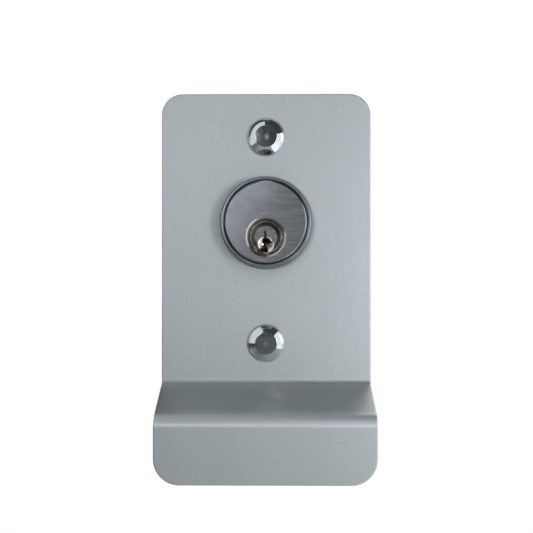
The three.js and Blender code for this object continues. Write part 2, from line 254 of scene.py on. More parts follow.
def cylinder_chrome():
    """Satin chrome brushed from side to side, with a painted highlight near the top of the head and a tan
    painted highlight round the lower rim of the recess. In the recess it is worn through to brown brass, with
    painted shade in the gap round the plug and a painted highlight at the bottom."""
    n = Nodes("cylinder_chrome")
    lines = n.noise(5200, detail=3, stretch=(0.03, 1, 1))
    cloud = n.map_range(n.noise(130, detail=3), 0.35, 0.65, 0, 0.5)
    # Painted highlight near the top of the head.
    pale = n.map_range(n.reach(CYL_Z + 14, -2), 1.5, 8, 0.75, 0)
    satin = n.mix(n.map_range(lines, 0.3, 0.7, 0, 1), (0.43, 0.435, 0.45), (0.48, 0.485, 0.50))
    satin = n.mix(cloud, satin, (0.41, 0.415, 0.43))
    satin = n.mix(pale, satin, (0.62, 0.625, 0.64))
    reach = n.reach(PLUG_Z)
    # Painted highlight in tan on the lower part of the recess's rim.
    rim = n.map_range(reach, MOUTH_R + 0.05, MOUTH_R - 0.05, 0, 0.9)
    rim_highlight = n.times(rim, n.map_range(n.place()[2], PLUG_Z + 3, PLUG_Z + 7, 1, 0))
    satin = n.mix(rim_highlight, satin, (0.54, 0.515, 0.44))

    worn = n.mix(n.noise(700, detail=4), (0.27, 0.23, 0.20), (0.66, 0.59, 0.44))
    # Painted shade in the gap round the plug, over the worn brass colour.
    gap = n.map_range(reach, COUNTERBORE_R + 0.1, COUNTERBORE_R - 0.1, 0, 1)
    worn = n.mix(gap, worn, (0.05, 0.035, 0.02))
    # Painted highlight on the brass at the bottom of the recess.
    bright = n.map_range(n.reach(PLUG_Z - 7.5, -0.3), 0.9, 1.4, 1, 0)
    worn = n.mix(bright, worn, (0.80, 0.64, 0.38))
    recess = n.map_range(reach, MOUTH_LIP + 0.05, MOUTH_LIP - 0.05, 0, 1)
    n.bump(lines, 0.04)
    return n.finish(n.mix(recess, satin, worn), n.map_range(lines, 0.3, 0.7, 0.19, 0.26))


def collar_chrome():
    """Satin chrome with fine lines from front to back, with painted shade on its side behind its front rim.
    """
    n = Nodes("collar_chrome")
    lines = n.noise(3200, detail=3, stretch=(1, 0.05, 1))
    satin = n.mix(n.map_range(lines, 0.3, 0.7, 0, 1), (0.25, 0.255, 0.265), (0.30, 0.305, 0.315))
    # Painted shade on the collar's side behind its front rim.
    side = n.map_range(n.place()[1], COLLAR_FRONT + 0.2, COLLAR_FRONT + 1.5, 0, 0.55)
    colour = n.mix(side, satin, (0.10, 0.103, 0.108))
    n.bump(lines, 0.1)
    return n.finish(colour, n.map_range(lines, 0.3, 0.7, 0.26, 0.34))


def plug_nickel():
    """Handled nickel over brass, with painted shade in the slope round the dish. The cone that guides the key
    in has a smoother finish and a painted highlight, and what lies deeper than it has painted shade, such as
    the walls of the keyway."""
    n = Nodes("plug_nickel")
    stain = n.noise(520, detail=6, roughness=0.65)
    fine = n.noise(2600, detail=3)
    metal = n.mix(n.map_range(stain, 0.32, 0.68, 0, 1), (0.17, 0.155, 0.14), (0.40, 0.375, 0.34))
    reach = n.reach(PLUG_Z)
    # Painted shade in the slope between the dish and the rim.
    inner = n.map_range(reach, DISH_R - 0.3, DISH_R + 0.1, 0, 1)
    outer = n.map_range(reach, RIM_R - 0.25, RIM_R - 0.05, 1, 0)
    slope_shade = n.times(n.times(inner, outer), 0.9)
    colour = n.mix(slope_shade, metal, (0.05, 0.042, 0.042))

    y = n.place()[1]
    dish = PLUG_LOW.y + DISH_DEPTH
    cone = n.map_range(n.reach(PLUG_Z + SCOOP_Z, SCOOP_X), 0, SCOOP_R, dish + SCOOP_DEPTH, dish)
    deep = n.math("SUBTRACT", y, cone)
    # Painted highlight over the key guide cone, which also gets a smoother finish below.
    in_cone = n.map_range(cone, dish + 0.02, dish + 0.12, 0, 1)
    polish_and_highlight = n.times(in_cone, n.map_range(deep, 0.06, 0.12, 1, 0))
    colour = n.mix(polish_and_highlight, colour, (0.90, 0.82, 0.76))
    inside = n.map_range(reach, FLANGE_R - 1, FLANGE_R - 1.2, 0, 1)
    shade = n.times(n.map_range(deep, 0.1, 0.9, 0, 0.97), inside)
    shade = n.times(shade, n.map_range(y, 10, 14, 1, 0))
    colour = n.mix(shade, colour, (0.03, 0.028, 0.025))
    n.bump(n.math("ADD", n.times(stain, 0.6), fine), 0.1)
    rough = n.map_range(fine, 0.3, 0.7, 0.24, 0.36)
    return n.finish(colour, n.times(rough, n.map_range(polish_and_highlight, 0, 1, 1, 0.5)))


def turned_metal(name, dark, light, rough=(0.22, 0.36), grain=2600):
    """A machined or plated metal with fine grain, stains and small differences in tone."""
    n = Nodes(name)
    stain = n.noise(260, detail=6, roughness=0.65)
    fine = n.noise(grain, detail=3)
    colour = n.mix(n.map_range(stain, 0.32, 0.68, 0, 1), dark, light)
    n.bump(n.math("ADD", n.times(stain, 0.6), fine), 0.25)
    return n.finish(colour, n.map_range(fine, 0.3, 0.7, *rough))


MATERIALS = {
    "plate_satin": satin_plate(),
    "bolt_chrome": bolt_chrome(),
    "cylinder_satin_chrome": cylinder_chrome(),
    "plug_nickel": plug_nickel(),
    "pin_brass": turned_metal("pin_brass", (0.55, 0.40, 0.18), (0.74, 0.58, 0.30)),
    "spring_bronze": turned_metal("spring_bronze", (0.45, 0.32, 0.20), (0.66, 0.50, 0.32)),
    "zinc_steel": turned_metal("zinc_steel", (0.50, 0.51, 0.51), (0.66, 0.67, 0.66), rough=(0.3, 0.45)),
}

COLLAR_LOOK = collar_chrome()
VERDIGRIS = turned_metal("verdigris_brass", (0.05, 0.20, 0.14), (0.22, 0.40, 0.30), rough=(0.35, 0.55))

# ---- mesh building ----

WELD = 1e-7
FILLET_SHARE = 0.48


def piece_from(name, verts, faces, smooth_angle=40):
    """A mesh object from millimetre points, with its faces turned outwards."""
    mesh = bpy.data.meshes.new(name)
    mesh.from_pydata([tuple(c * MM for c in v) for v in verts], [], faces)
    work = bmesh.new()
    work.from_mesh(mesh)
    bmesh.ops.remove_doubles(work, verts=work.verts, dist=WELD)
    bmesh.ops.recalc_face_normals(work, faces=work.faces)
    work.to_mesh(mesh)
    work.free()
    piece = bpy.data.objects.new(name, mesh)
    bpy.context.scene.collection.objects.link(piece)
    shade(piece, smooth_angle)
    return piece


def shade(piece, smooth_angle):
    """Smooth shading, with edges kept sharp above an angle in degrees."""
    for polygon in piece.data.polygons:
        polygon.use_smooth = True
    piece.data.set_sharp_from_angle(angle=math.radians(smooth_angle))


def carve(piece, *cutters, smooth_angle=32):
    """Cuts the cutters out of the piece for good, and removes them."""
    for cutter in cutters:
        modifier = piece.modifiers.new("cut", "BOOLEAN")
        modifier.operation = "DIFFERENCE"
        modifier.solver = "EXACT"
        modifier.object = cutter
    graph = bpy.context.evaluated_depsgraph_get()
    mesh = bpy.data.meshes.new_from_object(piece.evaluated_get(graph))
    piece.modifiers.clear()
    piece.data = mesh
    for cutter in cutters:
        bpy.data.objects.remove(cutter)
    shade(piece, smooth_angle)
    return piece


def settle(piece, slot, body, *replaced, look=None):
    """Gives a finished piece its material, its body and the CAD nodes it stands for."""
    piece.data.materials.clear()
    piece.data.materials.append(look or MATERIALS[slot])
    normals = piece.modifiers.new("normals", "WEIGHTED_NORMAL")
    normals.keep_sharp = True
    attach(piece, body)
    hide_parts(*replaced)
    return piece


def rounded(corners, steps=5):
    """A line through (a, b, fillet radius) corners, each one turned into an arc. A radius of 0 stays sharp.
    A fillet uses up less than half of the shorter side."""
    points = [np.array(c[:2], float) for c in corners]
    line = []
    for i, (a, b, radius) in enumerate(corners):
        here = points[i]
        if radius == 0 or i in (0, len(corners) - 1):
            line.append((a, b))
            continue
        to_last = points[i - 1] - here
        to_next = points[i + 1] - here
        last_length = np.linalg.norm(to_last)
        next_length = np.linalg.norm(to_next)
        u = to_last / last_length
        v = to_next / next_length
        angle = math.acos(float(np.clip(u @ v, -1, 1)))
        reach = min(radius / math.tan(angle / 2), FILLET_SHARE * last_length, FILLET_SHARE * next_length)
        fillet = reach * math.tan(angle / 2)
        centre = here + (u + v) / np.linalg.norm(u + v) * fillet / math.sin(angle / 2)
        start = here + u * reach - centre
        end = here + v * reach - centre
        sweep = math.pi - angle
        for k in range(steps + 1):
            t = k / steps
            spoke = start * math.sin((1 - t) * sweep) + end * math.sin(t * sweep)
            line.append(tuple(centre + spoke / math.sin(sweep)))
    return line


def between(ring, following):
    """Faces that join two rings with as many points each."""
    count = len(ring)
    return [(ring[k], ring[(k + 1) % count], following[(k + 1) % count], following[k]) for k in range(count)]


def turned(name, line, x=0.0, z=0.0, segments=96, along="Y", y=0.0, smooth_angle=40):
    """A line of (radius, distance) points turned about the Y or Z direction."""
    verts = []
    rings = []
    for radius, distance in line:
        if radius < 1e-6:
            rings.append([len(verts)])
            verts.append((x, distance, z) if along == "Y" else (x, y, z + distance))
            continue
        rings.append(list(range(len(verts), len(verts) + segments)))
        for k in range(segments):
            angle = 2 * math.pi * k / segments
            c, s = radius * math.cos(angle), radius * math.sin(angle)
            verts.append((x + c, distance, z + s) if along == "Y" else (x + c, y + s, z + distance))
    faces = []
    for ring, following in zip(rings, rings[1:]):
        for k in range(segments):
            after = (k + 1) % segments
            if len(ring) == 1:
                faces.append((ring[0], following[k], following[after]))
            elif len(following) == 1:
                faces.append((ring[k], following[0], ring[after]))
            else:
                faces.append((ring[k], following[k], following[after], ring[after]))
    return piece_from(name, verts, faces, smooth_angle)


def arc(cx, cy, radius, start, end, steps):
    """Points on an arc, its angles in degrees."""
    angles = np.radians(np.linspace(start, end, steps + 1))
    return [(cx + radius * math.cos(a), cy + radius * math.sin(a)) for a in angles]


def round_hole(cx, cy, radius, steps):
    """A closed circle of as many points as steps."""
    return arc(cx, cy, radius, 0, 360, steps)[:-1]


def rounded_rectangle(left, right, low, high, corner, steps=8):
    """A closed loop, its corners rounded to one radius."""
    return [
        *arc(right - corner, low + corner, corner, -90, 0, steps),
        *arc(right - corner, high - corner, corner, 0, 90, steps),
        *arc(left + corner, high - corner, corner, 90, 180, steps),
        *arc(left + corner, low + corner, corner, 180, 270, steps),
    ]


def inset(loop, distance):
    """A closed loop moved inwards by a distance, or outwards by a negative one."""
    here = np.array(loop, float)
    ahead = np.roll(here, -1, axis=0) - here
    ahead /= np.linalg.norm(ahead, axis=1)[:, None]
    behind = np.roll(ahead, 1, axis=0)
    area = np.sum(here[:, 0] * np.roll(here[:, 1], -1) - here[:, 1] * np.roll(here[:, 0], -1))
    out_a = np.stack([behind[:, 1], -behind[:, 0]], axis=1)
    out_b = np.stack([ahead[:, 1], -ahead[:, 0]], axis=1)
    miter = (out_a + out_b) / (1 + np.sum(out_a * out_b, axis=1))[:, None]
    return [tuple(p) for p in here - math.copysign(1, area) * distance * miter]


def contains(loop, point):
    """Whether a closed loop holds a point."""
    px, py = point
    inside = False
    for (ax, ay), (bx, by) in zip(loop, loop[1:] + loop[:1]):
        if (ay > py) != (by > py) and px < ax + (py - ay) * (bx - ax) / (by - ay):
            inside = not inside
    return inside


def fill(outer, holes, cross_rows=()):
    """Triangles over a loop with holes. cross_rows are pairs of outer points joined by an edge."""
    loops = [outer, *holes]
    points = [Vector(p) for loop in loops for p in loop]
    edges = list(cross_rows)
    start = 0
    for loop in loops:
        edges += [(start + k, start + (k + 1) % len(loop)) for k in range(len(loop))]
        start += len(loop)
    result = delaunay_2d_cdt(points, edges, [], 1, 1e-6)
    places, triangles, sources = result[0], result[2], result[3]
    kept = []
    for triangle in triangles:
        middle = sum((places[k] for k in triangle), Vector((0, 0))) / 3
        if contains(outer, middle) and not any(contains(hole, middle) for hole in holes):
            kept.append(tuple(sources[k][0] for k in triangle))
    return kept


def plate_mesh(name, outline, holes, thick, edge, place, rows=(), edge_steps=4):
    """A plate of one thickness with rounded edges. place(a, b, depth) puts an outline point in space."""
    steps = [math.radians(90 * k / edge_steps) for k in range(edge_steps + 1)]
    front = [(edge * (1 - math.sin(t)), edge * (1 - math.cos(t))) for t in steps]
    levels = front + [(inward, thick - depth) for inward, depth in reversed(front)]
    verts = []
    faces = []
    caps = ([], [])
    for loop, side in [(outline, 1)] + [(hole, -1) for hole in holes]:
        rings = []
        for inward, depth in levels:
            moved = inset(loop, side * inward)
            rings.append(range(len(verts), len(verts) + len(moved)))
            verts += [place(a, b, depth) for a, b in moved]
        for ring, following in zip(rings, rings[1:]):
            faces += between(ring, following)
        caps[0].extend(rings[0])
        caps[1].extend(rings[-1])
    flat = [inset(outline, edge), *[inset(hole, -edge) for hole in holes]]
    triangles = fill(flat[0], flat[1:], rows)
    for cap in caps:
        faces += [tuple(cap[k] for k in triangle) for triangle in triangles]
    return piece_from(name, verts, faces, smooth_angle=50)


# ---- pull plate ----


class Sheet:
    """The bent sheet: how far down its front face a point is, and where that lies in space."""

    lip_front = PLATE_LOW.y
    turn = math.atan2(PLATE_FRONT - PLATE_LOW.y, KNEE_Z - NOSE_Z)
    outer = BEND_R + SHEET
    tangent = math.tan(turn / 2)
    knee = (PLATE_FRONT - BEND_R, KNEE_Z + BEND_R * tangent)
    nose = (lip_front + outer, NOSE_Z - outer * tangent)
    knee_start = PLATE_HIGH.z - knee[1]
    knee_end = knee_start + (BEND_R + SHEET / 2) * turn
    riser = math.hypot(PLATE_FRONT - lip_front, KNEE_Z - NOSE_Z) - (BEND_R + outer) * tangent
    nose_start = knee_end + riser
    nose_end = nose_start + (BEND_R + SHEET / 2) * turn
    length = nose_end + nose[1] - PLATE_LOW.z

    @classmethod
    def place(cls, x, down, depth):
        """The point at x, so far down along the sheet and at a depth behind its front face."""
        if down <= cls.knee_start:
            return x, PLATE_FRONT + depth, PLATE_HIGH.z - down
        if down <= cls.nose_start:
            share = min((down - cls.knee_start) / (cls.knee_end - cls.knee_start), 1)
            angle = -cls.turn * share
            along = max(down - cls.knee_end, 0)
            y = cls.knee[0] + (BEND_R + depth) * math.cos(angle) + along * math.sin(angle)
            z = cls.knee[1] + (BEND_R + depth) * math.sin(angle) - along * math.cos(angle)
            return x, y, z
        share = min((down - cls.nose_start) / (cls.nose_end - cls.nose_start), 1)
        angle = math.pi - cls.turn * (1 - share)
        y = cls.nose[0] + (cls.outer - depth) * math.cos(angle)
        z = cls.nose[1] + (cls.outer - depth) * math.sin(angle)
        return x, y, z - max(down - cls.nose_end, 0)


def pull_plate():
    """The pull plate: a flat outline with rounded corners and three holes, bent along the sheet."""
    right = PLATE_HIGH.x
    left = PLATE_LOW.x
    knee_rows = list(np.linspace(Sheet.knee_start, Sheet.knee_end, 11))
    nose_rows = list(np.linspace(Sheet.nose_start, Sheet.nose_end, 17))
    rows = knee_rows + nose_rows
    top = [
        *arc(left + TOP_CORNER, TOP_CORNER, TOP_CORNER, 180, 270, 14),
        *arc(right - TOP_CORNER, TOP_CORNER, TOP_CORNER, 270, 360, 14),
    ]
    low = Sheet.length - LIP_CORNER
    bottom = [
        *arc(right - LIP_CORNER, low, LIP_CORNER, 0, 90, 16),
        *arc(left + LIP_CORNER, low, LIP_CORNER, 90, 180, 16),
    ]
    outline = top + [(right, s) for s in rows] + bottom + [(left, s) for s in reversed(rows)]
    first_right = len(top)
    last_left = len(outline) - 1
    cross = [(first_right + k, last_left - k) for k in range(len(rows))]
    holes = [round_hole(0, PLATE_HIGH.z - CYL_Z, CYLINDER_HOLE_R, 72)]
    for bolt in BOLTS:
        down = PLATE_HIGH.z - box_mm(bolt)[2].z
        holes.append(rounded_rectangle(-NECK_HOLE, NECK_HOLE, down - NECK_HOLE, down + NECK_HOLE, 0.6, 3))
    piece = plate_mesh("pull_plate_sheet", outline, holes, SHEET, PLATE_EDGE, Sheet.place, cross)
    return settle(piece, "plate_satin", "root", "pull_plate")


# ---- threads, nuts and washers ----

NUT_HOLE_R = 4.0
WASHER_HOLE_R = 4.2


def threaded_rod(name, x, z, start, end, radius, pitch, depth, head=(), gaps=(), segments=40):
    """A threaded shank along Y with a blunt point at start. head is further (radius, y) rings, and gaps are
    the middles of break-off grooves, where the thread dips."""
    rows_per_turn = 6
    point = 0.25
    core = radius - depth
    count = int((end - start) / pitch * rows_per_turn)
    verts = []
    rings = []

    def ring(radii, y):
        rings.append(range(len(verts), len(verts) + segments))
        for k, r in enumerate(radii):
            angle = 2 * math.pi * k / segments
            verts.append((x + r * math.cos(angle), y, z + r * math.sin(angle)))

    ring([core * 0.5] * segments, start)
    for i in range(count + 1):
        y = start + point + (end - start - point) * i / count
        run_in = (y - start) / (1.5 * pitch)
        run_out = (end - y) / (0.8 * pitch)
        height = depth * max(min(run_in, run_out, 1), 0.0)
        nearest = min((abs(y - gap) for gap in gaps), default=math.inf)
        groove = max(0.0, 1 - nearest / (0.75 * pitch)) * depth * 0.8
        radii = []
        for k in range(segments):
            phase = (y / pitch + k / segments) % 1
            crest = 1 - abs(2 * phase - 1) * 1.25
            radii.append(core - groove + height * max(0.0, min(crest, 0.85)))
        ring(radii, y)
    for r, y in head:
        ring([r] * segments, y)
    faces = [tuple(rings[0]), tuple(reversed(rings[-1]))]
    for below, above in zip(rings, rings[1:]):
        faces += between(below, above)
    return piece_from(name, verts, faces, smooth_angle=60)


def hex_nut(name, node):
    """A hexagon nut with a chamfer on both of its faces and in both ends of its hole."""
    low, high, middle = box_mm(node)
    steps = 12
    segments = 6 * steps
    flat = min(high.x - low.x, high.z - low.z) / 2
    turn = 0 if high.x - low.x > high.z - low.z else math.pi / 6
    crown = flat * 0.96
    slope = math.tan(math.radians(30))
    sides = [flat / math.cos(math.radians(60 * (k % steps) / steps - 30)) for k in range(segments)]
    edges = [side - 0.06 for side in sides]

    def chamfer(radii):
        """How far a ring lies behind the face of the nut."""
        return [max(r - crown, 0) * slope for r in radii]

    half = [
        ([NUT_HOLE_R] * segments, [0.5] * segments),
        ([NUT_HOLE_R + 0.5] * segments, [0] * segments),
        ([crown] * segments, [0] * segments),
        (edges, chamfer(edges)),
        (sides, [depth + 0.1 for depth in chamfer(sides)]),
    ]
    front = [(radii, [low.y + depth for depth in depths]) for radii, depths in half]
    back = [(radii, [high.y - depth for depth in depths]) for radii, depths in reversed(half)]
    verts = []
    rings = []
    for radii, ys in [*front, *back, front[0]]:
        rings.append(range(len(verts), len(verts) + segments))
        for k, (r, y) in enumerate(zip(radii, ys)):
            angle = 2 * math.pi * k / segments + turn
            verts.append((middle.x + r * math.cos(angle), y, middle.z + r * math.sin(angle)))
    faces = []
    for ring, following in zip(rings, rings[1:]):
        faces += between(ring, following)
    piece = piece_from(name, verts, faces, smooth_angle=28)
    return settle(piece, "zinc_steel", "root", node)


def ring_washer(name, node):
    """A flat washer with its edges broken."""
    low, high, middle = box_mm(node)
    outer = (high.x - low.x) / 2
    corners = [
        (WASHER_HOLE_R, middle.y, 0),
        (WASHER_HOLE_R, low.y, 0.15),
        (outer, low.y, 0.35),
        (outer, high.y, 0.2),
        (WASHER_HOLE_R, high.y, 0.15),
        (WASHER_HOLE_R, middle.y, 0),
    ]
    piece = turned(name, rounded(corners, 3), middle.x, middle.z)
    return settle(piece, "zinc_steel", "root", node)


# ---- through bolts ----

BOLT_DISC_R = 4.6
BOLT_CROWN = 0.06
BOLT_SEAT = 0.1
BOLT_NECK = 4.0
NECK_LENGTH = 6.0
SHANK_R = 3.6
BOLT_THREAD = {"radius": 3.9, "pitch": 1.41, "depth": 0.55}
BOLT_THREAD_START = 26


def trim_bolt(place):
    """A domed bolt with a flat disc in the middle of its head, a square neck and a threaded shank."""
    node = f"{place}_trim_bolt"
    low, high, middle = box_mm(node)
    head_r = (high.x - low.x) / 2
    top = low.y
    under = PLATE_FRONT - BOLT_SEAT
    corners = [
        (0, top, 0),
        (BOLT_DISC_R * 0.5, top + BOLT_CROWN / 4, 3),
        (BOLT_DISC_R, top + BOLT_CROWN, 0.12),
        (BOLT_DISC_R + 1.75, top + 1.38, 4),
        (BOLT_DISC_R + 2.85, top + 2.35, 1.8),
        (head_r - 0.05, under - 0.4, 0.5),
        (head_r, under, 0.15),
        (0, under, 0),
    ]
    head = turned(f"{place}_bolt_head", rounded(corners, 6), middle.x, middle.z, segments=128)
    settle(head, "bolt_chrome", "root", node)

    left = middle.x - BOLT_NECK
    right = middle.x + BOLT_NECK
    outline = rounded_rectangle(left, right, middle.z - BOLT_NECK, middle.z + BOLT_NECK, 0.5, 4)

    neck_front = under + 0.05
    neck_back = neck_front + NECK_LENGTH

    def in_neck(x, z, depth):
        return x, neck_front + depth, z

    neck = plate_mesh(f"{place}_bolt_neck", outline, [], NECK_LENGTH, 0.3, in_neck)
    settle(neck, "zinc_steel", "root")

    # The rod is made with its point in front, and then mirrored to point backwards.
    plain = [(SHANK_R, 0.1 - BOLT_THREAD_START), (SHANK_R, -neck_back - 0.15)]
    shank = threaded_rod(
        f"{place}_bolt_shank",
        middle.x,
        middle.z,
        start=-high.y,
        end=-BOLT_THREAD_START,
        head=plain,
        **BOLT_THREAD,
    )
    shank.data.transform(Matrix.Diagonal((1, -1, 1, 1)))
    shank.data.flip_normals()
    settle(shank, "zinc_steel", "root")


# ---- lock cylinder ----

COLLAR_BORE_R = 14.8
COLLAR_SEAT = -6.3
HEAD_RECESS_R = 17.35
COLLAR_LIP_R = 17.85
COLLAR_RIM_R = 18.9


def collar():
    """The trim ring, with a recess for the cylinder's head and a small step in its front rim."""
    low, high, middle = box_mm("cylinder_collar")
    base = (high.x - low.x) / 2
    start = (COLLAR_BORE_R, middle.y + 2, 0)
    corners = [
        start,
        (COLLAR_BORE_R, COLLAR_SEAT, 0.3),
        (HEAD_RECESS_R, COLLAR_SEAT, 0.3),
        (HEAD_RECESS_R + 0.05, low.y + 0.7, 0.1),
        (COLLAR_LIP_R, low.y + 0.45, 0.1),
        (COLLAR_LIP_R, low.y, 0.25),
        (COLLAR_RIM_R, low.y, 0.4),
        (base, high.y - 0.5, 0.3),
        (base, high.y, 0.15),
        (COLLAR_BORE_R, high.y, 0.2),
        start,
    ]
    piece = turned("cylinder_trim_collar", rounded(corners, 4), 0, CYL_Z, segments=160)
    return settle(piece, "cylinder_satin_chrome", "root", "cylinder_collar", look=COLLAR_LOOK)


def chambers(low, high):
    """Cutters for the row of pin holes, upright from low to high above the plug's axis."""
    line = [(0, low), (PIN_HOLE_R, low), (PIN_HOLE_R, high), (0, high)]
    return [turned("chamber", line, 0, PLUG_Z, 40, "Z", y) for y in PIN_Y]


def drilled(name, radius, x, z, bottom, mouth, flare=0.35):
    """A cutter for a blind hole along Y whose mouth is countersunk."""
    line = [
        (0, bottom - radius * 0.5),
        (radius, bottom),
        (radius, mouth - flare),
        (radius + flare, mouth),
        (radius + flare + 0.5, mouth + 0.5),
        (0, mouth + 0.5),
    ]
    return turned(name, line, x, z, segments=40)


SCREW_HOLE_R = 2.5
SCREW_HOLE_END = 8.5
CHAMBER_TOP = 30


def cylinder_shell():
    """The lock's head and body, with a recess round the plug, a bore, pin holes and screw holes."""
    front = SHELL_LOW.y
    back = SHELL_HIGH.y
    corners = [
        (0, front, 0),
        (HEAD_R - 0.5, front, 0.12),
        (HEAD_R, front + 0.5, 0.3),
        (HEAD_R, HEAD_BACK, 0.2),
        (BODY_R, HEAD_BACK, 0.3),
        (BODY_R, back - 0.8, 0.15),
        (BODY_R - 0.8, back, 0.15),
        (0, back, 0),
    ]
    blank = turned("lock_shell", rounded(corners, 4), 0, CYL_Z, segments=160)
    bore_corners = [
        (0, front - 1, 0),
        (MOUTH_R + 1.28, front - 1, 0),
        (MOUTH_LIP, front + 0.547, 0.08),
        (COUNTERBORE_R, PLUG_LOW.y + 0.25, 0.2),
        (COUNTERBORE_R, COUNTERBORE_END, 0),
        (BORE_R, COUNTERBORE_END, 0),
        (BORE_R, back - 0.3, 0),
        (BORE_R + 0.3, back, 0),
        (BORE_R + 0.8, back + 0.5, 0),
        (0, back + 0.5, 0),
    ]
    bore = turned("bore", rounded(bore_corners, 4), 0, PLUG_Z, segments=128)
    screw = CYL_SCREW[2]
    screw_holes = [
        drilled("screw_hole", SCREW_HOLE_R, x, screw.z, SCREW_HOLE_END, back) for x in (-screw.x, screw.x)
    ]
    piece = carve(blank, bore, *chambers(0, CHAMBER_TOP), *screw_holes)
    return settle(piece, "cylinder_satin_chrome", "root", "cylinder_shell")


# Corners of the keyway, as (x, height above the plug's axis, fillet radius). The last one closes the loop.
KEYWAY = [
    (-0.65, 2.7, 0.25),
    (0.15, 2.7, 0.25),
    (0.35, -0.3, 0.3),
    (1.0, -0.7, 0.2),
    (2.0, -1.3, 0.35),
    (2.0, -2.5, 0.35),
    (0.3, -3.0, 0.3),
    (0.15, -3.6, 0.3),
    (0.85, -4.9, 0.5),
    (0.9, -7.2, 0),
    (-1.5, -7.2, 0),
    (-2.0, -5.3, 0.4),
    (-1.6, -4.4, 0.3),
    (-1.0, -3.4, 0.4),
    (-1.6, -2.4, 0.4),
    (-1.6, -1.1, 0.4),
    (-0.75, -0.3, 0.3),
    (-0.65, 2.7, 0),
]


def keyway_cutter(front, back):
    """A cutter of the keyway's outline, from front to back along Y."""
    outline = rounded(KEYWAY, 3)[1:]
    count = len(outline)
    verts = [(x, y, PLUG_Z + z) for y in (front, back) for x, z in outline]
    front_ring = range(count)
    back_ring = range(count, 2 * count)
    faces = between(front_ring, back_ring)
    faces += [tuple(reversed(front_ring)), tuple(back_ring)]
    return piece_from("keyway_cutter", verts, faces)


KEYWAY_BACK = 7
PIN_FLOOR = -2.8
PIN_TOP = 9
SLOT_FRONT = 19
RETAINER_HOLE_END = 17.5


def plug():
    """The plug, with a dished face, key guide, keyway and pin holes, and a slot and holes at its back."""
    face = PLUG_LOW.y
    back = PLUG_HIGH.y
    dish = face + DISH_DEPTH
    corners = [
        (0, dish, 0),
        (DISH_R, dish, 0.3),
        (RIM_R - 0.15, face + 0.1, 0.1),
        (RIM_R, face, 0.1),
        (RIM_R + 0.2, face, 0.1),
        (FLANGE_R, face + 0.45, 0.15),
        (FLANGE_R, FLANGE_BACK, 0),
        (PLUG_R, FLANGE_BACK, 0),
        (PLUG_R, back - 0.3, 0.1),
        (PLUG_R - 0.3, back, 0.1),
        (0, back, 0),
    ]
    blank = turned("lock_plug", rounded(corners, 4), 0, PLUG_Z, segments=128)
    keyway = keyway_cutter(face - 1, back - KEYWAY_BACK)
    slope = SCOOP_DEPTH / SCOOP_R
    scoop_line = [(0, face - 1), (SCOOP_R + (1 + DISH_DEPTH) / slope, face - 1), (0, dish + SCOOP_DEPTH)]
    scoop = turned("scoop", scoop_line, SCOOP_X, PLUG_Z + SCOOP_Z, segments=72)
    half_wide, half_high = BLADE_SLOT
    slot_loop = rounded_rectangle(-half_wide, half_wide, PLUG_Z - half_high, PLUG_Z + half_high, 0.2, 2)

    def in_slot(x, z, depth):
        return x, SLOT_FRONT + depth, z

    slot = plate_mesh("slot", slot_loop, [], back + 1 - SLOT_FRONT, 0.05, in_slot)
    screw_x = RETAINER_SCREW[2].x
    screw_holes = [
        drilled("screw_hole", RETAINER_HOLE_R, x, PLUG_Z, RETAINER_HOLE_END, back, flare=0.2)
        for x in (-screw_x, screw_x)
    ]
    piece = carve(blank, scoop, keyway, *chambers(PIN_FLOOR, PIN_TOP), slot, *screw_holes)
    return settle(piece, "plug_nickel", "plug", "plug")


def chamber_caps():
    """Small discs that close the pin chambers, each with a dimple in its top."""
    for i in range(1, 6):
        node = f"chamber_cap_{i}"
        low, high, middle = box_mm(node)
        radius = (high.x - low.x) / 2 - 0.01
        corners = [
            (0, low.z, 0),
            (radius, low.z, 0.15),
            (radius, high.z, 0.2),
            (0.5, high.z, 0.1),
            (0.35, high.z - 0.2, 0.1),
            (0, high.z - 0.25, 0),
        ]
        piece = turned(f"spring_cap_{i}", rounded(corners, 3), 0, 0, 40, "Z", middle.y)
        settle(piece, "pin_brass", "root", node)


def coil_spring(i):
    """A fine coil that fills the box of its CAD spring."""
    node = f"pin_spring_{i}"
    low, high, middle = box_mm(node)
    wire = 0.17
    radius = (high.x - low.x) / 2 - wire - 0.01
    turns = 6.5
    per_turn = 22
    sides = 8
    start = low.z + wire
    rise = high.z - low.z - 2 * wire
    verts = []
    count = int(turns * per_turn)
    for k in range(count + 1):
        angle = 2 * math.pi * k / per_turn
        share = k / count
        eased = share - 0.06 * math.sin(2 * math.pi * share)
        for m in range(sides):
            around = 2 * math.pi * m / sides
            r = radius + wire * math.cos(around)
            z = start + rise * eased + wire * math.sin(around)
            verts.append((r * math.cos(angle), middle.y + r * math.sin(angle), z))
    rings = [range(k * sides, (k + 1) * sides) for k in range(count + 1)]
    faces = [tuple(rings[0]), tuple(reversed(rings[-1]))]
    for ring, following in zip(rings, rings[1:]):
        faces += between(ring, following)
    piece = piece_from(f"driver_spring_{i}", verts, faces, smooth_angle=60)
    settle(piece, "spring_bronze", "root", node)
    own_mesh(piece)


def pins():
    """Key pins with pointed tips and driver pins with blunt ones. The first key pin is green."""
    for i in range(1, 6):
        for kind, tip_r, taper in (("key_pin", 0.45, 1.1), ("driver_pin", 1.2, 0.25)):
            node = f"{kind}_{i}"
            low, high, middle = box_mm(node)
            radius = (high.x - low.x) / 2
            corners = [
                (0, low.z, 0),
                (tip_r, low.z, 0.12),
                (radius, low.z + taper, 0.2),
                (radius, high.z - 0.25, 0.1),
                (radius - 0.25, high.z, 0.1),
                (0, high.z, 0),
            ]
            piece = turned(f"{kind}_{i}_turned", rounded(corners, 4), 0, 0, 40, "Z", middle.y)
            settle(piece, "pin_brass", node, node, look=VERDIGRIS if node == "key_pin_1" else None)


# ---- tailpiece, clamp plate and their screws ----

NOTCH = 0.7
NOTCH_START = 36
NOTCH_SPACING = 6.35
TIP_CHAMFER = 1.2


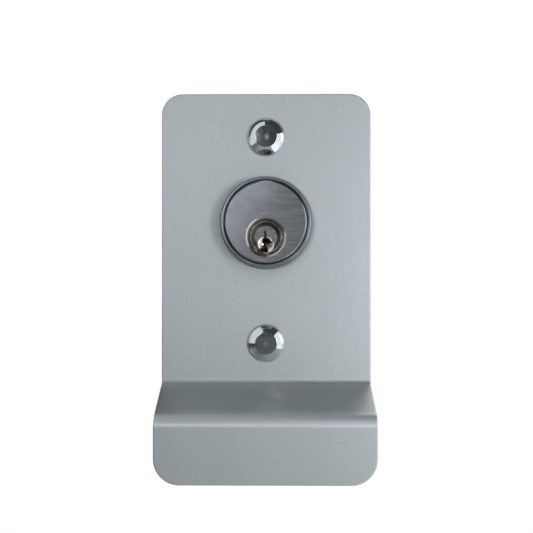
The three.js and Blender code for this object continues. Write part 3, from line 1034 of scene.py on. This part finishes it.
def tailpiece():
    """A flat blade with a row of notches, where it is snapped off to suit the door."""
    low, high, _ = box_mm("tailpiece")
    half = (high.z - low.z) / 2
    top = [(low.y, half)]
    for y in np.arange(NOTCH_START, high.y - 3, NOTCH_SPACING):
        top += [(y - NOTCH, half), (y, half - NOTCH), (y + NOTCH, half)]
    top += [(high.y - TIP_CHAMFER, half), (high.y, half - TIP_CHAMFER)]
    outline = top + [(y, -z) for y, z in reversed(top)]

    def in_blade(y, height, depth):
        return low.x + depth, y, PLUG_Z + height

    piece = plate_mesh("tailpiece_blade", outline, [], high.x - low.x, 0.18, in_blade, edge_steps=3)
    return settle(piece, "zinc_steel", "plug", "tailpiece")


def retainer():
    """The disc at the back of the plug that holds the tailpiece in its slot."""
    low, high, _ = box_mm("tailpiece_retainer")
    outline = round_hole(0, 0, (high.x - low.x) / 2, 96)
    half_wide, half_high = BLADE_SLOT
    slot = rounded_rectangle(-half_wide, half_wide, -half_high, half_high, 0.2, 2)
    screw_x = RETAINER_SCREW[2].x
    holes = [slot, *[round_hole(x, 0, RETAINER_HOLE_R, 24) for x in (-screw_x, screw_x)]]

    def in_disc(x, height, depth):
        return x, low.y + depth, PLUG_Z + height

    piece = plate_mesh("tailpiece_retainer_disc", outline, holes, high.y - low.y, 0.15, in_disc)
    return settle(piece, "pin_brass", "plug", "tailpiece_retainer")


SCREW_SLOT = (4, 2.5)
TAILPIECE_HOLE_R = 7


def clamp_plate():
    """The plate on the inner side of the door, with a hole for the tailpiece and two long screw slots."""
    low, high, _ = box_mm("clamp_plate")
    outline = rounded_rectangle(low.x, high.x, low.z, high.z, 6, 12)
    screw = CYL_SCREW[2]
    half_wide, half_high = SCREW_SLOT
    holes = [round_hole(0, PLUG_Z, TAILPIECE_HOLE_R, 64)]
    for x in (-screw.x, screw.x):
        slot = (x - half_wide, x + half_wide, screw.z - half_high, screw.z + half_high)
        holes.append(rounded_rectangle(*slot, half_high - 0.01, 10))

    def in_plate(x, z, depth):
        return x, low.y + depth, z

    piece = plate_mesh("cylinder_clamp_plate", outline, holes, high.y - low.y, 0.4, in_plate)
    return settle(piece, "zinc_steel", "root", "clamp_plate")


def driver_slot(x, y, z, length, width, depth):
    """A cutter for a screwdriver slot, open towards +Y."""
    loop = rounded_rectangle(x - length / 2, x + length / 2, z - width / 2, z + width / 2, width * 0.1, 2)

    def in_slot(along, up, inward):
        return along, y - depth + inward, up

    return plate_mesh("slot_cutter", loop, [], depth + 1, 0.02, in_slot)


CLAMP_THREAD = {"radius": 2.3, "pitch": 0.79, "depth": 0.38}
CLAMP_HEAD = 2.6
BREAKS = tuple(np.arange(26, 40, 4.7))


def cylinder_screws():
    """Long screws with domed slotted heads and grooves where they are broken off to suit the door."""
    for side in ("left", "right"):
        node = f"{side}_cylinder_screw"
        low, high, middle = box_mm(node)
        head_r = (high.x - low.x) / 2
        under = high.y - CLAMP_HEAD
        head_corners = [
            (CLAMP_THREAD["radius"], under, 0),
            (head_r, under, 0.15),
            (head_r, high.y - 1.2, 0.5),
            (head_r - 2.4, high.y, 3),
            (0.05, high.y, 0),
        ]
        blank = threaded_rod(
            f"{side}_clamp_screw",
            middle.x,
            middle.z,
            start=low.y,
            end=under - 0.1,
            head=rounded(head_corners, 5),
            gaps=BREAKS,
            segments=32,
            **CLAMP_THREAD,
        )
        slot = driver_slot(middle.x, high.y, middle.z, 2 * head_r + 2, width=1.1, depth=1.2)
        piece = carve(blank, slot, smooth_angle=50)
        settle(piece, "zinc_steel", "root", node)


def retainer_screws():
    """Small slotted screws that hold the retainer to the plug."""
    for side in ("left", "right"):
        node = f"{side}_retainer_screw"
        low, high, middle = box_mm(node)
        head_r = (high.x - low.x) / 2
        under = high.y - 1.0
        shank_r = 0.8
        corners = [
            (0, low.y, 0),
            (shank_r, low.y + 0.4, 0.1),
            (shank_r, under, 0.05),
            (head_r, under, 0.08),
            (head_r, high.y - 0.3, 0.25),
            (head_r - 0.5, high.y, 0.4),
            (0, high.y, 0),
        ]
        blank = turned(f"{side}_retaining_screw", rounded(corners, 4), middle.x, middle.z, segments=40)
        slot = driver_slot(middle.x, high.y, middle.z, 2 * head_r + 1, width=0.45, depth=0.45)
        piece = carve(blank, slot)
        settle(piece, "zinc_steel", "plug", node)


# ---- camera, light and floor ----

# Metres from here on. VIEW_WIDTH is how much of the plate's front plane the camera sees from side to side.
CAMERA_REACH = 0.434
VIEW_WIDTH = 0.2267
CAMERA_HEIGHT = 0.0066
CAMERA_RIGHT = 0.0045
TARGET_RIGHT = 0.0002


def camera():
    """A camera almost straight in front of the plate."""
    data = bpy.data.cameras.new("camera")
    data.sensor_width = 36
    data.lens = data.sensor_width * CAMERA_REACH / VIEW_WIDTH
    eye = bpy.data.objects.new("camera", data)
    bpy.context.scene.collection.objects.link(eye)
    eye.location = (CAMERA_RIGHT, PLATE_FRONT * MM - CAMERA_REACH, CAMERA_HEIGHT)
    target = Vector((TARGET_RIGHT, PLATE_FRONT * MM, CAMERA_HEIGHT))
    eye.rotation_mode = "QUATERNION"
    eye.rotation_quaternion = (target - eye.location).to_track_quat("-Z", "Y")
    data.clip_start = 0.01
    bpy.context.scene.camera = eye


CENTRE = (0, 0, 0)
BEHIND = (0, 0.03, 0)
DAYLIGHT = (0.87, 0.935, 1.0)


def softbox(name, place, aim, size, power):
    """A bluish white area light that the camera doesn't see. power is in watts."""
    data = bpy.data.lights.new(name, "AREA")
    data.shape = "RECTANGLE"
    data.size, data.size_y = size
    data.energy = power
    data.color = DAYLIGHT
    light = bpy.data.objects.new(name, data)
    bpy.context.scene.collection.objects.link(light)
    light.location = place
    light.rotation_mode = "QUATERNION"
    light.rotation_quaternion = (Vector(aim) - Vector(place)).to_track_quat("-Z", "Y")
    light.visible_camera = False
    return light


def panel(name, low, high, near, far, power):
    """A light standing on edge beside the part, between two (x, z) points and two depths before the door."""
    a = Vector((low[0], 0, low[1]))
    b = Vector((high[0], 0, high[1]))
    along = (b - a).normalized()
    facing = along.cross(Vector((0, 1, 0)))
    middle = (a + b) / 2
    middle.y = (near + far) / 2
    if facing.dot(middle) > 0:
        facing.negate()
    light = softbox(name, middle, CENTRE, ((b - a).length, abs(far - near)), power)
    turn = Matrix((along, (-facing).cross(along), -facing)).transposed()
    light.rotation_quaternion = turn.to_quaternion()


def split_rays(tree, lit, seen, target):
    """Sends one shader to the camera, and another to all the other rays."""
    path = tree.nodes.new("ShaderNodeLightPath")
    mix = tree.nodes.new("ShaderNodeMixShader")
    tree.links.new(path.outputs["Is Camera Ray"], mix.inputs[0])
    tree.links.new(lit.outputs[0], mix.inputs[1])
    tree.links.new(seen.outputs[0], mix.inputs[2])
    tree.links.new(mix.outputs[0], target)


def studio():
    """A white backdrop, a dim room, and soft lights in front, above, beside and behind."""
    scene = bpy.context.scene
    scene.view_settings.view_transform = "Standard"
    world = bpy.data.worlds.new("studio")
    scene.world = world
    world.use_nodes = True
    tree = world.node_tree
    backdrop = tree.nodes["Background"]
    backdrop.inputs["Color"].default_value = (1, 1, 1, 1)
    backdrop.inputs["Strength"].default_value = 1.05
    room = tree.nodes.new("ShaderNodeBackground")
    room.inputs["Color"].default_value = (0.92, 0.96, 1.0, 1)
    room.inputs["Strength"].default_value = 0.05
    split_rays(tree, room, backdrop, tree.nodes["World Output"].inputs[0])

    softbox("near_left", (-0.257, -1.16, 0.174), CENTRE, (0.14, 0.14), 1.25)
    softbox("near_right", (0.31, -1.16, 0.0), CENTRE, (0.14, 0.14), 0.34)
    softbox("right", (0.6, -1.04, 0.0), CENTRE, (0.26, 0.26), 3.2)
    softbox("upper_right", (0.402, -0.892, 0.695), CENTRE, (0.36, 0.36), 0.5)
    softbox("high", (0, -0.77, 0.92), CENTRE, (0.4, 0.5), 0.65)
    softbox("top", (0, 0.14, 1.19), CENTRE, (0.3, 0.14), 0.25)
    panel("side_right", (0.155, -0.27), (0.155, 0.115), -0.015, -0.13, 0.14)
    panel("side_left", (-0.205, -0.036), (-0.03, 0.40), -0.02, -0.11, 0.1)
    softbox("near_low", (0, -1.16, -0.15), CENTRE, (0.24, 0.24), 0.012)
    softbox("right_fill", (0.5, 0.06, 0.1), (0, 0.02, 0), (0.3, 0.3), 0.22)
    softbox("back_fill", (0.16, 0.44, 0.2), BEHIND, (0.35, 0.35), 1.3)
    softbox("back_left", (-0.33, 0.24, 0.06), BEHIND, (0.3, 0.35), 0.7)


FLOOR_HALF = 6.0
FLOOR_DROP = 0.32


def floor():
    """A pale floor well below the part, which hangs on a door. The camera sees it as plain white."""
    level = PLATE_LOW.z * MM - FLOOR_DROP
    loop = [(-1, -1), (1, -1), (1, 1), (-1, 1)]
    mesh = bpy.data.meshes.new("floor")
    mesh.from_pydata([(x * FLOOR_HALF, y * FLOOR_HALF, level) for x, y in loop], [], [(0, 1, 2, 3)])
    piece = bpy.data.objects.new("floor", mesh)
    bpy.context.scene.collection.objects.link(piece)
    n = Nodes("pale_floor", metallic=0.0)
    tone = n.mix(n.noise(3, detail=2), (0.86, 0.86, 0.86), (0.9, 0.9, 0.9))
    white = n.add("ShaderNodeEmission")
    split_rays(n.tree, n.shader, white, n.tree.nodes["Material Output"].inputs["Surface"])
    mesh.materials.append(n.finish(tone, 0.8))


# ---- build ----

camera()
studio()
floor()
pull_plate()
for bolt_place in ("upper", "lower"):
    trim_bolt(bolt_place)
    ring_washer(f"{bolt_place}_flat_washer", f"{bolt_place}_bolt_washer")
    hex_nut(f"{bolt_place}_hex_nut", f"{bolt_place}_bolt_nut")
collar()
cylinder_shell()
plug()
chamber_caps()
pins()
for spring_number in range(1, 6):
    coil_spring(spring_number)
tailpiece()
retainer()
retainer_screws()
clamp_plate()
cylinder_screws()
